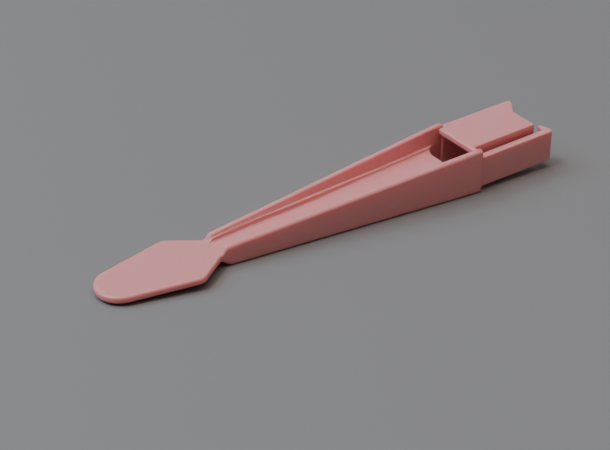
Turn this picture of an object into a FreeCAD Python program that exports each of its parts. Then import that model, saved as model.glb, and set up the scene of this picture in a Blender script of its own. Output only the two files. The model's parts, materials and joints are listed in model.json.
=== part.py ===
"""One-piece moulded pry tool, lying on a bench.

The tool frame has its origin just behind the blade's nose, on the moulding's centre plane: +X runs along
the tool to the tail, +Y across it and +Z up. Every member is drawn there. The whole tool is then tipped by
the angle at which it lies, on the lower edges of its side walls, with the middle of its outline over the
origin and the bench at Z = 0. Lengths are in millimetres.
"""
import FreeCAD, Part
import math
import os
import Sketcher
from FreeCAD import Placement, Rotation, Vector

SIZES = {
    # pry blade: a flat leaf
    "blade_thickness": 1.2,
    "blade_nose_place": -0.35,
    "blade_nose_half": 3.43,
    "blade_nose_radius": 4.1,
    "blade_wide_place": 14.6,
    "blade_wide_half": 6.42,
    "blade_corner_radius": 2.2,
    "blade_rim_radius": 0.3,
    "waist_place": 19.95,
    "waist_half": 2.74,
    "waist_radius": 2.0,
    # handle: an I-beam that tapers in plan and in side view, its walls a little deeper below the web
    "neck_place": 21.0,
    "neck_half_width": 2.8,
    "neck_rise": 1.62,
    "neck_drop": 1.95,
    "shoulder_place": 69.3,
    "shoulder_half_width": 6.03,
    "shoulder_rise": 3.94,
    "shoulder_drop": 4.22,
    "wall_thickness": 1.4,
    "wall_rim_radius": 0.3,
    "web_thickness": 1.2,
    # window through the web, and the bar that bridges the walls behind it, flush with the deck
    "window_front": 64.9,
    "window_corner_place": 67.2,
    "window_corner_half": 2.0,
    "bar_length": 1.05,
    # tail: a channel open below and behind, with a rail along its far side
    "deck_top": 3.45,
    "deck_thickness": 1.05,
    "deck_near": 3.6,
    "deck_far": 5.5,
    "deck_rear": 82.45,
    "horn_start": 1.9,
    "horn_place": 84.3,
    "horn_inner": 4.3,
    "horn_end_width": 0.6,
    "rail_rear": 84.5,
    "rail_thickness": 1.4,
    "rib_thickness": 1.05,
    "leg_bottom": 3.5,
    # snap arm: a spring finger along the near side, with a hook at its end
    "arm_outer": 5.47,
    "arm_thickness": 1.32,
    "arm_top": 2.16,
    "arm_bottom": 3.5,
    "arm_rear": 84.9,
    "arm_root_gap": 0.1,
    "arm_root_radius": 0.6,
    "hook_front": 83.7,
    "hook_tip_front": 84.0,
    "hook_tip_rear": 84.6,
    "hook_inner": 2.7,
    "hook_rear": 85.3,
    "hook_shoulder": 4.5,
}

SHEET = "Sizes"
TOLERANCE = 1e-6
NEARBY = 0.05
LEAST_CUT = 1.0


class Size:
    """A length with its value and the spreadsheet expression that gives it."""

    def __init__(self, value, text):
        self.value = value
        self.text = text

    def __add__(self, other):
        other = as_size(other)
        return Size(self.value + other.value, "(%s + %s)" % (self.text, other.text))

    def __sub__(self, other):
        other = as_size(other)
        return Size(self.value - other.value, "(%s - %s)" % (self.text, other.text))

    def __mul__(self, other):
        other = as_size(other)
        return Size(self.value * other.value, "(%s * %s)" % (self.text, other.text))

    def __truediv__(self, other):
        other = as_size(other)
        return Size(self.value / other.value, "(%s / %s)" % (self.text, other.text))

    def __neg__(self):
        return Size(-self.value, "(0 - %s)" % self.text)


def as_size(number):
    if isinstance(number, Size):
        return number
    return Size(float(number), repr(float(number)))


def size(alias):
    return Size(SIZES[alias], "%s.%s" % (SHEET, alias))


def fill_sheet(doc):
    sheet = doc.addObject("Spreadsheet::Sheet", SHEET)
    for row, (alias, number) in enumerate(SIZES.items(), start=1):
        sheet.set("A%d" % row, alias)
        sheet.set("B%d" % row, str(number))
        sheet.setAlias("B%d" % row, alias)
    doc.recompute()


def taper(front, rear):
    """A half-size that runs straight from its value at the neck to its value at the shoulder."""
    neck, shoulder = size("neck_place"), size("shoulder_place")

    def at(place):
        return front + (rear - front) * (place - neck) / (shoulder - neck)
    return at


def outer_half(place):
    return taper(size("neck_half_width"), size("shoulder_half_width"))(place)


def inner_half(place):
    return outer_half(place) - size("wall_thickness")


def origin_plane(body, role):
    return next(item for item in body.Origin.OriginFeatures if item.Role == role)


def add_outline(body, name, role, corners, height=None):
    """A closed polygon on one of the body's planes, each corner placed by two bound distances."""
    sketch = body.newObject("Sketcher::SketchObject", name)
    sketch.AttachmentSupport = (origin_plane(body, role), [""])
    sketch.MapMode = "FlatFace"
    if height is not None:
        sketch.setExpression("AttachmentOffset.Base.z", height.text)
    count = len(corners)
    points = [Vector(across.value, up.value, 0) for across, up in corners]
    for index in range(count):
        sketch.addGeometry(Part.LineSegment(points[index], points[(index + 1) % count]), False)
    start, end, origin = 1, 2, (-1, 1)
    for index in range(count):
        following = (index + 1) % count
        sketch.addConstraint(Sketcher.Constraint("Coincident", index, end, following, start))
    for index, (across, up) in enumerate(corners):
        for kind, distance in (("DistanceX", across), ("DistanceY", up)):
            place = sketch.addConstraint(
                Sketcher.Constraint(kind, origin[0], origin[1], index, start, distance.value))
            sketch.setExpression("Constraints[%d]" % place, distance.text)
    return sketch


def pad_plan(doc, label, corners, low, high):
    """A body padded up from a plan outline at height low to height high."""
    body = doc.addObject("PartDesign::Body", label)
    body.Label = label
    sketch = add_outline(body, label + "_plan", "XY_Plane", corners, low)
    pad = body.newObject("PartDesign::Pad", label + "_pad")
    pad.Profile = sketch
    pad.setExpression("Length", (high - low).text)
    sketch.Visibility = False
    doc.recompute()
    return body


def fillet(doc, body, name, radius, wanted):
    """Round the tip's edges for which wanted(edge) holds."""
    base = body.Tip
    edges = ["Edge%d" % number for number, edge in enumerate(base.Shape.Edges, start=1) if wanted(edge)]
    rounding = body.newObject("PartDesign::Fillet", body.Label + "_" + name)
    rounding.Base = (base, edges)
    rounding.setExpression("Radius", radius.text)
    doc.recompute()
    return rounding


def is_upright(edge):
    """True for a straight edge along Z."""
    box = edge.BoundBox
    return box.XLength < TOLERANCE and box.YLength < TOLERANCE and box.ZLength > TOLERANCE


def upright_near(places, reach=NEARBY):
    """A test for upright edges that stand at one of the places, given as (x, |y|)."""
    def wanted(edge):
        if not is_upright(edge):
            return False
        point = edge.Vertexes[0].Point
        return any(math.hypot(point.x - x.value, abs(point.y) - y.value) < reach for x, y in places)
    return wanted


def mirrored(corners):
    """A plan outline symmetric about the tool's axis, from its +Y half."""
    return corners + [(place, -across) for place, across in reversed(corners)]


def make_pry_blade(doc):
    neck = size("neck_place")
    half = size("blade_thickness") / 2
    corners = [
        (size("blade_nose_place"), size("blade_nose_half")),
        (size("blade_wide_place"), size("blade_wide_half")),
        (size("waist_place"), size("waist_half")),
        (neck, size("neck_half_width")),
    ]
    body = pad_plan(doc, "pry_blade", mirrored(corners), -half, half)
    fillet(doc, body, "nose", size("blade_nose_radius"), upright_near(corners[:1]))
    fillet(doc, body, "corners", size("blade_corner_radius"), upright_near(corners[1:2]))
    fillet(doc, body, "waist", size("waist_radius"), upright_near(corners[2:3]))

    def on_rim(edge):
        box = edge.BoundBox
        level = box.ZLength < TOLERANCE
        return level and box.XLength > TOLERANCE
    fillet(doc, body, "rim", size("blade_rim_radius"), on_rim)
    return body


def make_center_web(doc):
    neck, front = size("neck_place"), size("window_front")
    corner, half = size("window_corner_place"), size("web_thickness") / 2
    corners = [
        (neck, inner_half(neck)),
        (corner, inner_half(corner)),
        (front, size("window_corner_half")),
    ]
    return pad_plan(doc, "center_web", mirrored(corners), -half, half)


def make_side_wall(doc, label, side):
    """A side wall: its plan strip padded to full height, then cut to the wedge of the side view."""
    neck, shoulder = size("neck_place"), size("shoulder_place")
    top, bottom = size("shoulder_rise"), -size("shoulder_drop")
    corners = [(neck, outer_half(neck) * side), (shoulder, outer_half(shoulder) * side),
               (shoulder, inner_half(shoulder) * side), (neck, inner_half(neck) * side)]
    body = pad_plan(doc, label, corners, bottom, top)
    slopes = (("upper", size("neck_rise"), top), ("lower", -size("neck_drop"), bottom))
    for name, at_neck, at_shoulder in slopes:
        before = body.Shape.Volume
        outline = [(neck, at_neck), (shoulder, at_shoulder), (neck, at_shoulder)]
        sketch = add_outline(body, "%s_%s_slope" % (label, name), "XZ_Plane", outline)
        cut = body.newObject("PartDesign::Pocket", "%s_%s_cut" % (label, name))
        cut.Profile = sketch
        cut.Type = "ThroughAll"
        cut.SideType = "Symmetric"
        sketch.Visibility = False
        doc.recompute()
        assert body.Shape.Volume < before - LEAST_CUT, "the %s cut of %s removed nothing" % (name, label)

    def along_rim(edge):
        box = edge.BoundBox
        long_enough = box.XLength > (shoulder - neck).value - NEARBY
        return long_enough and box.ZLength > TOLERANCE
    fillet(doc, body, "rims", size("wall_rim_radius"), along_rim)
    return body


def make_cross_bar(doc):
    rear, top = size("shoulder_place"), size("deck_top")
    front = rear - size("bar_length")
    corners = [(front, inner_half(front)), (rear, inner_half(rear))]
    return pad_plan(doc, "cross_bar", mirrored(corners), top - size("deck_thickness"), top)


def make_tail_deck(doc):
    front, rear = size("shoulder_place"), size("deck_rear")
    near, far, top = -size("deck_near"), size("deck_far"), size("deck_top")
    rail_rear = size("rail_rear")
    corners = [(front, near), (rear, near), (rear, size("horn_start")),
               (size("horn_place"), size("horn_inner")), (rail_rear, far - size("horn_end_width")),
               (rail_rear, far), (front, far)]
    return pad_plan(doc, "tail_deck", corners, top - size("deck_thickness"), top)


def make_tail_leg(doc, label, front, rear, low_side, high_side):
    """A wall that hangs below the deck between two distances across the tool."""
    corners = [(front, low_side), (rear, low_side), (rear, high_side), (front, high_side)]
    under = size("deck_top") - size("deck_thickness")
    return pad_plan(doc, label, corners, -size("leg_bottom"), under)


def make_snap_arm(doc):
    root = size("shoulder_place") + size("arm_root_gap")
    outer = -size("arm_outer")
    inner = outer + size("arm_thickness")
    hook_inner = -size("hook_inner")
    corners = [(root, outer), (size("arm_rear"), outer), (size("hook_rear"), -size("hook_shoulder")),
               (size("hook_tip_rear"), hook_inner), (size("hook_tip_front"), hook_inner),
               (size("hook_front"), inner), (root, inner)]
    body = pad_plan(doc, "snap_arm", corners, -size("arm_bottom"), size("arm_top"))
    root_edges = [(root, size("arm_outer")), (root, size("arm_outer") - size("arm_thickness"))]
    fillet(doc, body, "root", size("arm_root_radius"), upright_near(root_edges))
    return body


def lie_down(doc, bodies):
    """Tip the tool onto the bench and centre its outline over the origin."""
    fall = SIZES["shoulder_drop"] - SIZES["neck_drop"]
    lean = math.degrees(math.atan2(fall, SIZES["shoulder_place"] - SIZES["neck_place"]))
    turn = Rotation(Vector(0, 1, 0), -lean)
    for body in bodies:
        body.Placement = Placement(Vector(0, 0, 0), turn)
    doc.recompute()
    box = Part.makeCompound([body.Shape for body in bodies]).optimalBoundingBox()
    shift = Vector(-box.Center.x, -box.Center.y, -box.ZMin)
    for body in bodies:
        body.Placement = Placement(shift, turn)
    doc.recompute()
    print("lean %.4f deg, shift %.4f %.4f %.4f mm" % (lean, shift.x, shift.y, shift.z))


def check(doc, bodies):
    failed = [item.Name for item in doc.Objects if "Invalid" in item.State or "Error" in item.State]
    assert not failed, "failed objects: %s" % failed
    for body in bodies:
        shape = body.Shape
        assert not shape.isNull() and shape.isValid(), body.Label
        assert len(shape.Solids) == 1, body.Label


def main():
    doc = FreeCAD.newDocument("pry_tool")
    fill_sheet(doc)
    shoulder = size("shoulder_place")
    near_face, far_face = -size("deck_near"), size("deck_far")
    bodies = [
        make_pry_blade(doc),
        make_center_web(doc),
        make_side_wall(doc, "near_side_wall", -1),
        make_side_wall(doc, "far_side_wall", 1),
        make_cross_bar(doc),
        make_tail_deck(doc),
        make_tail_leg(doc, "tail_rib", shoulder, size("deck_rear"), near_face,
                      near_face + size("rib_thickness")),
        make_tail_leg(doc, "tail_rail", shoulder, size("rail_rear"), far_face - size("rail_thickness"),
                      far_face),
        make_snap_arm(doc),
    ]
    lie_down(doc, bodies)
    check(doc, bodies)
    os.makedirs("parts", exist_ok=True)
    for body in bodies:
        body.Shape.exportStep("parts/%s.step" % body.Label)
        print("%-16s %8.2f mm3" % (body.Label, body.Shape.Volume))


main()
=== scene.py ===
"""Looks of the moulded pry tool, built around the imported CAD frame.

The moulding is drawn in its own frame, in millimetres: x from the blade's nose to the tail, y across, z up,
with the middle of the blade at z = 0. TO_BENCH then lays it where the CAD model lies, in metres.
"""
import bmesh
import bpy
import json
import math
from mathutils import Matrix, Vector


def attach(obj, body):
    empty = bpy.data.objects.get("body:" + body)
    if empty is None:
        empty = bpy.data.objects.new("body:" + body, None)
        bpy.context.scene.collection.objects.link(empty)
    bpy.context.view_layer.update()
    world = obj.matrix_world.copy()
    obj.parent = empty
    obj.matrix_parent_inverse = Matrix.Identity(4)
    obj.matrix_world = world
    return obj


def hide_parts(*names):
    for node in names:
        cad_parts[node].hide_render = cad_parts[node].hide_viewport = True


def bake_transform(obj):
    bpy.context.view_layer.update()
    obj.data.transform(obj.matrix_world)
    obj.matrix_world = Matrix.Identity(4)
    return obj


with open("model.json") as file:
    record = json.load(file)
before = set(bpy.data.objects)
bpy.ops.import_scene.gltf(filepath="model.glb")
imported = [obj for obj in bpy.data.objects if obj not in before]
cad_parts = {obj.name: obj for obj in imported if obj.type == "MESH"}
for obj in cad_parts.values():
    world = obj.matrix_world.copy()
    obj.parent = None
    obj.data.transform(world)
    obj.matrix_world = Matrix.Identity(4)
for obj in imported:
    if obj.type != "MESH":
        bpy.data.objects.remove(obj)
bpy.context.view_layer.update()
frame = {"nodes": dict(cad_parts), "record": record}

MM = 0.001

# Fineness of the meshes: steps in each kind of rounding, and spacing of the points along the outline
ARC_STEPS, RIM_STEPS, EDGE_STEPS = 8, 5, 3
NOSE_STEPS, BLADE_ARC_STEPS, SHOULDER_STEPS = 22, 12, 4
BLADE_SPACING, WAIST_SPACING, NECK_SPACING, HANDLE_SPACING = 0.8, 0.4, 0.1, 1.5
BEVEL_STEPS, BEVEL_PROFILE, BEVEL_MIN_ANGLE = 3, 0.5, 0.3
SAME_POINT, WELD, QUAD_SIDES = 1e-4, 0.02, 4
SMOOTH_ANGLE, NORMAL_WEIGHT = 40, 80

# Blade: its sides flare from the nose's arc to the widest corners, then close to the waist
BLADE_HALF = 0.6
NOSE_X = -0.35
FLARE, FLARE_START = 0.2, 3.5
WIDE, CORNER_RADIUS = (14.6, 6.42), 2.2
WAIST, WAIST_RADIUS = (19.95, 2.74), 2.0
BLADE_RIM = 0.42
FAN_LENGTH = 8

# Handle: half widths and pairs of heights are at the neck and at the shoulder, from the middle of the web.
# A start is the stretch of x over which the wall comes up out of the blade
NECK_X, NECK_HALF, NECK_END = 21.0, 2.8, 23
SHOULDER_X, SHOULDER_HALF = 69.3, 6.03
RISE, RISE_START = (1.62, 3.94), (19.9, 21.1)
DROP, DROP_START = (1.95, 4.22), (19.3, 22.0)
SIDES = ((RISE, RISE_START), (DROP, DROP_START))
WALL, WALL_TOP = 1.4, 1.15
WALL_RIM = 0.55
WALL_LIP, LIP_SHARE = 0.35, 0.3
LEDGE_WIDTH, LEDGE_GROWS = 0.48, (25.0, 40.0)
LEDGE_HEIGHTS, LEDGE_FALLS = (0.74, 0.35), (36.0, 61.0)
LEDGE_ROUND = 0.1
WEB_FILLET = 0.25
WEB_SHARES = (0.35, 0.7, 1)
SHOULDER_ROUND = 0.5

# Window and tail. What joins or cuts another solid runs on into it by BURIED or LAP, and NUDGE keeps faces
# out of one plane
WINDOW_FRONT, WINDOW_CORNER = 64.9, 2.6
WINDOW_OVERRUN = 1
BAR_FRONT = 68.25
DECK_TOP, DECK_BOTTOM = 3.45, 2.4
DECK_NEAR, DECK_FAR, DECK_REAR = -3.6, 5.5, 82.45
HORN_START, HORN_TIP = 1.9, (84.3, 4.3)
HORN_END = 0.6
DECK_CORNER, HORN_FOOT, HORN_ROUND = 0.35, 0.8, 0.4
RIB = 1.05
RAIL, RAIL_REAR = 1.4, 84.5
RAIL_SLOPE, RAIL_INNER_ROUND, RAIL_CORNER = 0.3, 0.2, 0.3
LEG_BOTTOM = -3.5
DECK_RIM, RIB_RIM, RAIL_RIM = 0.22, 0.15, 0.2
BURIED, LAP, NUDGE = 0.5, 0.1, 0.02

# Snap arm, with a hook at its end
ARM_OUTER, ARM_INNER = -5.47, -4.15
ARM_TOP, ARM_BOTTOM, ARM_REAR = 2.16, -3.5, 84.9
ARM_RIM = 0.24
HOOK_FRONT, HOOK_TIP, HOOK_REACH = 83.7, (84.0, 84.6), -2.7
HOOK_REAR, HOOK_SHOULDER = 85.3, -4.5
HOOK_ROUND, HOOK_EDGE = 0.45, 0.2
ARM_ROOT = 0.7
BEND_STEP, BEND_CUTS = 0.4, 11

# Plastic: colours and glow, then the size, depth and threshold of each kind of mark
PLASTIC_DEEP = (0.78, 0.318, 0.318, 1)
PLASTIC_PALE = (0.79, 0.328, 0.328, 1)
GLOW_RADIUS = (1.0, 0.34, 0.30)
GLOW_DEPTH = 1.25
PLASTIC_IOR = 1.49
MIDDLE = (0.3, 0.7)
MOTTLE_SIZE, FLOW_STRETCH = 6, (0.35, 1, 1)
GLOSS_SIZE, GLOSS = 2.5, (0.20, 0.23)
PEEL_SIZE, PEEL_DEPTH = 0.7, 0.004
GRAIN_SIZE, GRAIN_DEPTH = 0.12, 0.0012
RUB_REACH, RUB_SIZE, RUB_CUT = 2, 0.9, (0.45, 0.6)
SCRATCH_TURNS, SCRATCH_SCALE = (8, -38), (120, 5200, 5200)
SCRATCH_CUT, SCRATCH_DEPTH = (0.70, 0.74), 0.003
PATCH_SIZE, PATCH_CUT = 5.5, (0.56, 0.68)
MARK_ROUGHNESS = 0.12

# Sockets of Blender's Mix node that carry colours
MIX_FIRST, MIX_SECOND, MIX_RESULT = 6, 7, 2

# Studio, in metres. A light is its azimuth, elevation, distance, size, radiance and colour
FLOOR_REACH = 2
FLOOR_COLOR, FLOOR_ROUGHNESS = (0.226, 0.220, 0.219, 1), 0.7
WORLD_COLOR = (0.070, 0.063, 0.057, 1)
LIGHTS = {
    "window_light": (62, 34, 1.6, (1.8, 1.1), 0.3, (0.95, 0.97, 1.05)),
    "ceiling_light": (120, 80, 1.5, (2.0, 2.0), 1.0, (1.14, 0.97, 0.86)),
    "key_light": (145, 48, 1.3, (0.9, 0.9), 3.4, (0.58, 0.95, 1.28)),
    "lamp": (178, 64, 1.2, (0.3, 0.3), 14.0, (1.08, 1.0, 0.93)),
    "bounce": (-60, 55, 1.5, (1.2, 1.2), 0.5, (1.05, 0.98, 0.93)),
}

# Camera, in the moulding's frame; its near clip is in metres
VIEW_AZIMUTH, VIEW_ELEVATION, VIEW_ROLL = 55.2, 32.71, -0.49
VIEW_TARGET = (35.68, -2.4, 0)
VIEW_DISTANCE = 259.84
LENS = 97.38
CLIP_START = 0.01


def placement():
    """The moulding frame's place on the bench, from the flex joint that both models share."""
    joint = frame["record"]["behaviour"]["joints"][0]
    axis = Vector(joint["axis"])
    lean = math.atan2(axis.x, -axis.z)
    turn = Matrix.Rotation(-lean, 4, "Y") @ Matrix.Scale(MM, 4)
    pivot = Vector((SHOULDER_X + ARM_ROOT, (ARM_OUTER + ARM_INNER) / 2, 0))
    return Matrix.Translation(Vector(joint["pos_m"]) - turn @ pivot) @ turn


TO_BENCH = placement()


# Geometry

def direction(azimuth, elevation):
    """The unit vector at an azimuth and elevation in radians."""
    level = math.cos(elevation)
    return Vector((math.cos(azimuth) * level, math.sin(azimuth) * level, math.sin(elevation)))


def arc_between(before, corner, after, radius, steps):
    """Points of the arc that rounds a corner of a plan outline."""
    corner = Vector(corner)
    back, ahead = (Vector(before) - corner).normalized(), (Vector(after) - corner).normalized()
    half = back.angle(ahead) / 2
    reach = radius / math.tan(half)
    centre = corner + (back + ahead).normalized() * (radius / math.sin(half))
    start, end = corner + back * reach - centre, corner + ahead * reach - centre
    turn = start.angle_signed(end)
    return [centre + Matrix.Rotation(-turn * step / steps, 2) @ start for step in range(steps + 1)]


def rounded(corners):
    """A plan outline whose corners, given as (x, y, radius), are rounded where the radius isn't 0."""
    outline = []
    for index, (x, y, radius) in enumerate(corners):
        if radius == 0:
            outline.append((x, y))
            continue
        before, after = corners[index - 1][:2], corners[(index + 1) % len(corners)][:2]
        outline += [tuple(point) for point in arc_between(before, (x, y), after, radius, ARC_STEPS)]
    return outline


def spread(start, end, spacing):
    """Evenly spaced points strictly between two places."""
    start, end = Vector(start), Vector(end)
    count = max(1, round((end - start).length / spacing))
    return [start.lerp(end, index / count) for index in range(1, count)]


def ramp(value, low, high):
    """A smooth rise from 0 to 1 as the value goes from low to high."""
    share = min(1, max(0, (value - low) / (high - low)))
    return share * share * (3 - 2 * share)


def quarter_circle(steps):
    """(sine, cosine) pairs from 0 to 90 degrees."""
    return [(math.sin(math.pi / 2 * k / steps), math.cos(math.pi / 2 * k / steps)) for k in range(steps + 1)]


def along_handle(x, neck, shoulder):
    """A size that changes evenly from the neck to the shoulder."""
    return neck + (shoulder - neck) * (x - NECK_X) / (SHOULDER_X - NECK_X)


def box_outline(front, rear, low, high):
    return [(front, low), (rear, low), (rear, high), (front, high)]


# Meshes

def new_object(name, bm):
    mesh = bpy.data.meshes.new(name)
    bm.to_mesh(mesh)
    bm.free()
    piece = bpy.data.objects.new(name, mesh)
    bpy.context.scene.collection.objects.link(piece)
    return piece


def prism(name, outline, low, high, rim=0.0):
    """A closed prism over a plan outline, its sharp edges rounded by rim."""
    bm = bmesh.new()
    bottom = [bm.verts.new((x, y, low)) for x, y in outline]
    top = [bm.verts.new((x, y, high)) for x, y in outline]
    bm.faces.new(list(reversed(bottom)))
    bm.faces.new(top)
    count = len(outline)
    for k in range(count):
        bm.faces.new((bottom[k], bottom[(k + 1) % count], top[(k + 1) % count], top[k]))
    bmesh.ops.recalc_face_normals(bm, faces=bm.faces)
    if rim:
        edges = [edge for edge in bm.edges if edge.calc_face_angle() > BEVEL_MIN_ANGLE]
        bmesh.ops.bevel(bm, geom=edges, offset=rim, segments=BEVEL_STEPS, profile=BEVEL_PROFILE,
                        affect="EDGES", clamp_overlap=True)
    return new_object(name, bm)


def combine(base, other, operation):
    """Join or cut base by other, which is used up."""
    modifier = base.modifiers.new(operation, "BOOLEAN")
    modifier.operation = operation
    modifier.solver = "EXACT"
    modifier.object = other
    bpy.context.view_layer.update()
    graph = bpy.context.evaluated_depsgraph_get()
    mesh = bpy.data.meshes.new_from_object(base.evaluated_get(graph))
    base.modifiers.remove(modifier)
    base.data = mesh
    bpy.data.objects.remove(other)


def weld(piece):
    """Merge the near-double points that joining and cutting leave, and drop the slivers between them."""
    bm = bmesh.new()
    bm.from_mesh(piece.data)
    bmesh.ops.remove_doubles(bm, verts=bm.verts, dist=WELD)
    bmesh.ops.dissolve_degenerate(bm, dist=WELD, edges=bm.edges)
    bmesh.ops.triangulate(bm, faces=[face for face in bm.faces if len(face.verts) > QUAD_SIDES])
    bm.to_mesh(piece.data)
    bm.free()


def finish_mesh(piece):
    """Weld a piece, lay it on the bench and shade it: smooth over its roundings, flat on its flats."""
    weld(piece)
    piece.data.transform(TO_BENCH)
    for face in piece.data.polygons:
        face.use_smooth = True
    piece.data.set_sharp_from_angle(angle=math.radians(SMOOTH_ANGLE))
    weighted = piece.modifiers.new("flats", "WEIGHTED_NORMAL")
    weighted.keep_sharp = True
    weighted.weight = NORMAL_WEIGHT


# Blade and handle

def nose_arc():
    """The nose's arc, from the tip to where it meets the flared side, and the x of its centre."""
    lean = math.hypot(1, FLARE)
    radius = (FLARE_START + FLARE * NOSE_X) / (lean - FLARE)
    centre = NOSE_X + radius
    last = math.pi / 2 - math.atan(FLARE)
    angles = [last * step / NOSE_STEPS for step in range(NOSE_STEPS + 1)]
    return [Vector((centre - radius * math.cos(angle), radius * math.sin(angle))) for angle in angles], centre


def blade_side(tangent):
    """The blade's edge from the nose's arc, round the widest corner, to the end of the waist."""
    rear = (SHOULDER_X, SHOULDER_HALF)
    wide = arc_between(tangent, WIDE, WAIST, CORNER_RADIUS, BLADE_ARC_STEPS)
    waist = arc_between(WIDE, WAIST, rear, WAIST_RADIUS, BLADE_ARC_STEPS)
    flared = spread(tangent, wide[0], BLADE_SPACING)
    closing = spread(wide[-1], waist[0], WAIST_SPACING)
    return flared + wide + closing + waist


def half_outline():
    """The +y half of the plan outline, with the x of each point's foot on the centre line.

    The nose's points share the centre of their arc as a foot. Behind it the feet fan out, until each is
    straight across from its point.
    """
    nose, centre = nose_arc()
    tangent = nose[-1]
    points = [(place, centre) for place in nose]
    side = blade_side(tangent)
    offset = centre - tangent.x
    for place in side:
        points.append((place, place.x + offset * max(0, 1 - (place.x - tangent.x) / FAN_LENGTH)))
    neck_end = Vector((NECK_END, along_handle(NECK_END, NECK_HALF, SHOULDER_HALF)))
    straight = spread(side[-1], neck_end, NECK_SPACING) + [neck_end]
    straight += spread(neck_end, (SHOULDER_X - SHOULDER_ROUND, SHOULDER_HALF), HANDLE_SPACING)
    points += [(place, place.x) for place in straight]
    return points


def hollow(inward, height, radius):
    """A rounded inside corner of the section, where a wall comes down to a floor."""
    return [(inward + radius * (1 - c), height + radius * (1 - s)) for s, c in quarter_circle(EDGE_STEPS)]


def profile(x, reach, heights, start, shrink=0.0):
    """(inward distance, height) pairs from the rim at mid height, over the wall, to the centre line.

    Along the blade the wall has no height, so its points lie flat. Each rounding is limited by the step
    that it rounds, and shrink draws the whole section in.
    """
    share = ramp(x, *start)
    top = BLADE_HALF + share * (along_handle(x, *heights) - BLADE_HALF) - shrink
    rise = max(0, top - BLADE_HALF)
    rim = BLADE_RIM + share * (WALL_RIM - BLADE_RIM)
    lip = min(WALL_LIP, rise * LIP_SHARE)
    high, low = LEDGE_HEIGHTS
    ledge = min(high + ramp(x, *LEDGE_FALLS) * (low - high), rise / 2)
    level = BLADE_HALF + ledge
    width = LEDGE_ROUND / 2 + ramp(x, *LEDGE_GROWS) * LEDGE_WIDTH
    edge = WALL + width
    small, foot = min(LEDGE_ROUND, width / 3, ledge / 3), min(WEB_FILLET, ledge / 2)
    inner = edge + foot
    pairs = [(0, 0), (0, (top - rim) / 2)]
    pairs += [(rim * (1 - c), top - rim + rim * s) for s, c in quarter_circle(RIM_STEPS)]
    pairs += [(WALL_TOP - WALL_LIP + WALL_LIP * s, top - lip + lip * c) for s, c in quarter_circle(RIM_STEPS)]
    pairs += hollow(WALL, level, small)
    pairs += [(edge - small * (1 - s), level - small * (1 - c)) for s, c in quarter_circle(EDGE_STEPS)]
    pairs += hollow(edge, BLADE_HALF, foot)
    pairs += [(inner + (reach - inner) * share_in, BLADE_HALF) for share_in in WEB_SHARES]
    return [(inward + shrink * (1 - inward / reach), height) for inward, height in pairs]


def sections():
    """For each place along the tool, the (plan point, height) pairs of its upper and of its lower half."""
    found = []
    for place, foot in half_outline():
        centre = Vector((foot, 0))
        reach = (centre - place).length
        inward = (centre - place).normalized()
        found.append([[(place + inward * distance, z) for distance, z in profile(place.x, reach, *side)]
                      for side in SIDES])
    rear = Vector((SHOULDER_X - SHOULDER_ROUND, SHOULDER_HALF))
    for s, c in quarter_circle(SHOULDER_STEPS)[1:]:
        x = SHOULDER_X - SHOULDER_ROUND * (1 - s)
        shrink = SHOULDER_ROUND * (1 - c)
        found.append([[(Vector((x, rear.y - distance)), z)
                       for distance, z in profile(x, rear.y, *side, shrink)] for side in SIDES])
    return found


def make_blade_and_handle():
    """Blade, neck and handle as one closed skin: rings across the tool, from the nose to the shoulder."""
    bm = bmesh.new()
    rings = []
    for above, below in sections():
        ring = [(p.x, p.y, z) for p, z in above]
        ring += [(p.x, -p.y, z) for p, z in reversed(above[:-1])]
        ring += [(p.x, -p.y, -z) for p, z in below[1:]]
        ring += [(p.x, p.y, -z) for p, z in reversed(below[1:-1])]
        rings.append([bm.verts.new(corner) for corner in ring])
    count = len(rings[0])
    for ahead, behind in zip(rings, rings[1:]):
        for k in range(count):
            bm.faces.new((ahead[k], ahead[(k + 1) % count], behind[(k + 1) % count], behind[k]))
    bm.faces.new(rings[-1])
    bmesh.ops.remove_doubles(bm, verts=bm.verts, dist=SAME_POINT)
    bmesh.ops.dissolve_degenerate(bm, dist=SAME_POINT, edges=bm.edges)
    bmesh.ops.recalc_face_normals(bm, faces=bm.faces)
    return new_object("moulding", bm)


# Window and tail

def window_outline():
    """The window through the web, rounded at its front corners, and on past the shoulder."""
    rear = SHOULDER_X + WINDOW_OVERRUN
    side = along_handle(WINDOW_FRONT, NECK_HALF, SHOULDER_HALF) - WALL + NUDGE
    rear_side = along_handle(rear, NECK_HALF, SHOULDER_HALF) - WALL + NUDGE
    front, corner, back = (WINDOW_FRONT, 0), (WINDOW_FRONT, side), (rear, rear_side)
    half = [(p.x, p.y) for p in arc_between(front, corner, back, WINDOW_CORNER, ARC_STEPS)] + [back]
    return half + [(x, -y) for x, y in reversed(half)]


def tail_deck():
    """The tail's top plate, its far rear corner drawn out into a blunt horn."""
    front, shoulder = BAR_FRONT, SHOULDER_X - LAP
    inner = along_handle(front, NECK_HALF, SHOULDER_HALF) - WALL + LAP
    corners = [(front, -inner, 0), (shoulder, -inner, 0), (shoulder, DECK_NEAR, 0),
               (DECK_REAR, DECK_NEAR, DECK_CORNER), (DECK_REAR, HORN_START, HORN_FOOT),
               (*HORN_TIP, HORN_ROUND), (RAIL_REAR, DECK_FAR - HORN_END, RAIL_CORNER),
               (RAIL_REAR, DECK_FAR, RAIL_CORNER), (shoulder, DECK_FAR, 0), (shoulder, inner, 0),
               (front, inner, 0)]
    return prism("deck", rounded(corners), DECK_BOTTOM, DECK_TOP, DECK_RIM)


def tail_rib():
    """The wall under the deck's near edge."""
    outline = box_outline(SHOULDER_X - BURIED, DECK_REAR - NUDGE, DECK_NEAR + NUDGE, DECK_NEAR + RIB)
    return prism("rib", outline, LEG_BOTTOM, DECK_BOTTOM + BURIED, RIB_RIM)


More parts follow.
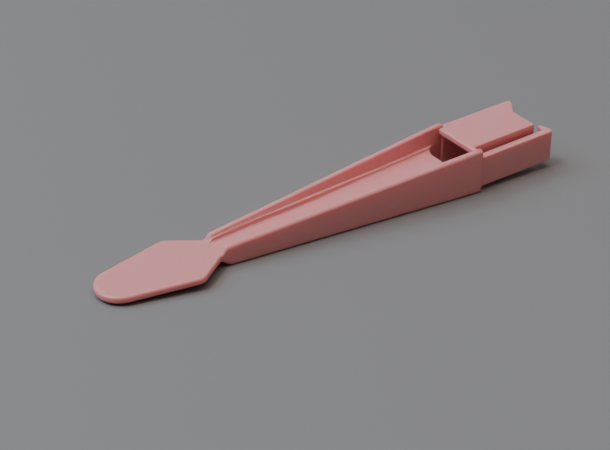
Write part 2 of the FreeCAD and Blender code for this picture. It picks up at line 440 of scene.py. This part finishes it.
def tail_rail():
    """The wall under the deck's far edge, which runs on under the horn."""
    root, inner = SHOULDER_X - BURIED, DECK_FAR - RAIL
    rear, outer = RAIL_REAR - NUDGE, DECK_FAR - NUDGE
    corners = [(root, inner, 0), (HORN_TIP[0] - RAIL_SLOPE, inner, RAIL_INNER_ROUND),
               (rear, DECK_FAR - HORN_END, RAIL_CORNER), (rear, outer, RAIL_CORNER), (root, outer, 0)]
    return prism("rail", rounded(corners), LEG_BOTTOM, DECK_BOTTOM + BURIED, RAIL_RIM)


def make_moulding():
    """Everything that is on the tool's body, as one skin."""
    body = make_blade_and_handle()
    cut_height = BLADE_HALF + LEDGE_HEIGHTS[0]
    combine(body, prism("window", window_outline(), -cut_height, cut_height), "DIFFERENCE")
    for member in (tail_deck(), tail_rib(), tail_rail()):
        combine(body, member, "UNION")
    return body


def make_arm():
    """The snap arm, cut across where it bends; its root runs on into the side wall, which hides it."""
    root = SHOULDER_X - BURIED
    corners = [(root, ARM_OUTER, 0), (ARM_REAR, ARM_OUTER, HOOK_ROUND),
               (HOOK_REAR, HOOK_SHOULDER, HOOK_ROUND), (HOOK_TIP[1], HOOK_REACH, HOOK_EDGE),
               (HOOK_TIP[0], HOOK_REACH, HOOK_EDGE), (HOOK_FRONT, ARM_INNER, HOOK_EDGE),
               (root, ARM_INNER, 0)]
    spring = prism("snap_arm_spring", rounded(corners), ARM_BOTTOM, ARM_TOP, ARM_RIM)
    bm = bmesh.new()
    bm.from_mesh(spring.data)
    for cut in range(1, BEND_CUTS + 1):
        geometry = bm.verts[:] + bm.edges[:] + bm.faces[:]
        place = (SHOULDER_X + BEND_STEP * cut, 0, 0)
        bmesh.ops.bisect_plane(bm, geom=geometry, plane_co=place, plane_no=(1, 0, 0))
    bm.to_mesh(spring.data)
    bm.free()
    return spring


# Plastic

class Nodes:
    """A material's node tree, with short calls for the nodes that the plastic uses."""

    def __init__(self, material):
        material.use_nodes = True
        self.tree = material.node_tree
        self.shader = self.tree.nodes["Principled BSDF"]

    def add(self, kind, inputs=(), **settings):
        node = self.tree.nodes.new(kind)
        for name, value in settings.items():
            setattr(node, name, value)
        for name, value in dict(inputs).items():
            self.feed(node.inputs[name], value)
        return node

    def feed(self, socket, value):
        """Link a socket to another socket, or set it to a plain value."""
        if isinstance(value, bpy.types.NodeSocket):
            self.tree.links.new(value, socket)
        else:
            socket.default_value = value

    def noise(self, place, size, detail=2.0):
        """Noise whose blobs are about size across."""
        node = self.add("ShaderNodeTexNoise", {"Vector": place, "Scale": 1 / size, "Detail": detail})
        return node.outputs["Fac"]

    def remap(self, value, low, high, to_low, to_high):
        node = self.add("ShaderNodeMapRange", {"Value": value, "From Min": low, "From Max": high,
                                               "To Min": to_low, "To Max": to_high})
        return node.outputs["Result"]

    def stretch(self, place, scale, turn=0.0):
        """A place scaled, then turned by degrees: the least scale draws a pattern out along its axis."""
        node = self.add("ShaderNodeMapping", {"Vector": place, "Rotation": (0, 0, math.radians(turn)),
                                              "Scale": scale})
        return node.outputs["Vector"]

    def math(self, operation, first, second):
        node = self.add("ShaderNodeMath", operation=operation)
        self.feed(node.inputs[0], first)
        self.feed(node.inputs[1], second)
        return node.outputs[0]

    def blend(self, share, first, second):
        node = self.add("ShaderNodeMix", data_type="RGBA")
        self.feed(node.inputs["Factor"], share)
        self.feed(node.inputs[MIX_FIRST], first)
        self.feed(node.inputs[MIX_SECOND], second)
        return node.outputs[MIX_RESULT]

    def bump(self, height, depth, normal=None):
        node = self.add("ShaderNodeBump", {"Height": height, "Distance": depth, "Strength": 1.0})
        if normal is not None:
            self.feed(node.inputs["Normal"], normal)
        return node.outputs["Normal"]


def hairlines(nodes, place, turn):
    """A mask of sparse hairline scratches along the tool, in scattered patches; turn picks the set."""
    streaks = nodes.noise(nodes.stretch(place, SCRATCH_SCALE, turn), size=1.0, detail=1.0)
    patches = nodes.noise(place, PATCH_SIZE * MM, detail=1.0)
    thin = nodes.remap(streaks, *SCRATCH_CUT, 0, 1)
    return nodes.math("MULTIPLY", thin, nodes.remap(patches, *PATCH_CUT, 0, 1))


def rubbed_nose(nodes, place):
    """A mask of the dulling at the blade's nose, where the tool is used."""
    along = nodes.add("ShaderNodeSeparateXYZ", {"Vector": place}).outputs["X"]
    nose = (TO_BENCH @ Vector((NOSE_X, 0, 0))).x
    near_nose = nodes.remap(along, nose, nose + RUB_REACH * MM, 1, 0)
    spots = nodes.remap(nodes.noise(place, RUB_SIZE * MM, detail=4.0), *RUB_CUT, 0, 1)
    return nodes.math("MULTIPLY", near_nose, spots)


def plastic():
    """Glossy, slightly translucent moulded plastic, with the marks of moulding and of use."""
    material = bpy.data.materials.new("pink_plastic")
    nodes = Nodes(material)
    place = nodes.add("ShaderNodeTexCoord").outputs["Object"]

    rubbed = rubbed_nose(nodes, place)
    one_way, other_way = (hairlines(nodes, place, turn) for turn in SCRATCH_TURNS)
    scratches = nodes.math("MAXIMUM", one_way, other_way)
    marks = nodes.math("MAXIMUM", rubbed, scratches)

    flow = nodes.stretch(place, FLOW_STRETCH)
    mottle = nodes.remap(nodes.noise(flow, MOTTLE_SIZE * MM, detail=3.0), *MIDDLE, 0, 1)
    nodes.feed(nodes.shader.inputs["Base Color"], nodes.blend(mottle, PLASTIC_DEEP, PLASTIC_PALE))

    gloss = nodes.remap(nodes.noise(place, GLOSS_SIZE * MM, detail=4.0), *MIDDLE, *GLOSS)
    dulled = nodes.math("ADD", gloss, nodes.math("MULTIPLY", marks, MARK_ROUGHNESS))
    nodes.feed(nodes.shader.inputs["Roughness"], dulled)

    peel = nodes.bump(nodes.noise(place, PEEL_SIZE * MM), PEEL_DEPTH * MM)
    grain = nodes.bump(nodes.noise(place, GRAIN_SIZE * MM), GRAIN_DEPTH * MM, peel)
    scored = nodes.bump(nodes.math("MULTIPLY", scratches, -1.0), SCRATCH_DEPTH * MM, grain)
    nodes.feed(nodes.shader.inputs["Normal"], scored)

    nodes.shader.inputs["IOR"].default_value = PLASTIC_IOR
    nodes.shader.inputs["Subsurface Weight"].default_value = 1.0
    nodes.shader.inputs["Subsurface Radius"].default_value = GLOW_RADIUS
    nodes.shader.inputs["Subsurface Scale"].default_value = GLOW_DEPTH * MM
    return material


# Studio

def make_floor():
    mesh = bpy.data.meshes.new("floor")
    corners = box_outline(-FLOOR_REACH, FLOOR_REACH, -FLOOR_REACH, FLOOR_REACH)
    mesh.from_pydata([(x, y, 0) for x, y in corners], [], [(0, 1, 2, 3)])
    floor = bpy.data.objects.new("floor", mesh)
    bpy.context.scene.collection.objects.link(floor)
    material = bpy.data.materials.new("floor")
    material.use_nodes = True
    shader = material.node_tree.nodes["Principled BSDF"]
    shader.inputs["Base Color"].default_value = FLOOR_COLOR
    shader.inputs["Roughness"].default_value = FLOOR_ROUGHNESS
    mesh.materials.append(material)


def add_light(name, azimuth, elevation, distance, size, radiance, color):
    """A soft box that faces the object from an azimuth and elevation, with an even radiance."""
    width, height = size
    data = bpy.data.lights.new(name, "AREA")
    data.shape = "RECTANGLE"
    data.size, data.size_y = width, height
    data.energy = radiance * math.pi * width * height
    data.color = color
    place = distance * direction(math.radians(azimuth), math.radians(elevation))
    light = bpy.data.objects.new(name, data)
    light.location = place
    light.rotation_euler = (-place).to_track_quat("-Z", "Y").to_euler()
    bpy.context.scene.collection.objects.link(light)


def make_lights():
    for name, settings in LIGHTS.items():
        add_light(name, *settings)
    world = bpy.data.worlds.new("studio")
    bpy.context.scene.world = world
    world.use_nodes = True
    world.node_tree.nodes["Background"].inputs["Color"].default_value = WORLD_COLOR


def make_camera():
    """The camera is aimed in the moulding's frame, then carried to the bench with it."""
    azimuth, elevation, roll = (math.radians(angle) for angle in (VIEW_AZIMUTH, VIEW_ELEVATION, VIEW_ROLL))
    ahead = direction(azimuth, -elevation)
    level_right = Vector((math.sin(azimuth), -math.cos(azimuth), 0))
    level_up = level_right.cross(ahead)
    up = level_up * math.cos(roll) - level_right * math.sin(roll)
    aim = Matrix((ahead.cross(up), up, -ahead)).transposed().to_4x4()
    aim.translation = Vector(VIEW_TARGET) - ahead * VIEW_DISTANCE
    place, turn, _ = (TO_BENCH @ aim).decompose()
    data = bpy.data.cameras.new("camera")
    data.lens = LENS
    data.clip_start = CLIP_START
    camera = bpy.data.objects.new("camera", data)
    camera.matrix_world = Matrix.LocRotScale(place, turn, None)
    bpy.context.scene.collection.objects.link(camera)
    bpy.context.scene.camera = camera


make_camera()
make_floor()
make_lights()
pink = plastic()
moulding = make_moulding()
arm = make_arm()
for piece in (moulding, arm):
    finish_mesh(piece)
    piece.data.materials.clear()
    piece.data.materials.append(pink)
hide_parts(*[node for node in frame["nodes"] if node != "snap_arm"])
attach(moulding, "tool_body")
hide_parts("snap_arm")
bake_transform(arm)
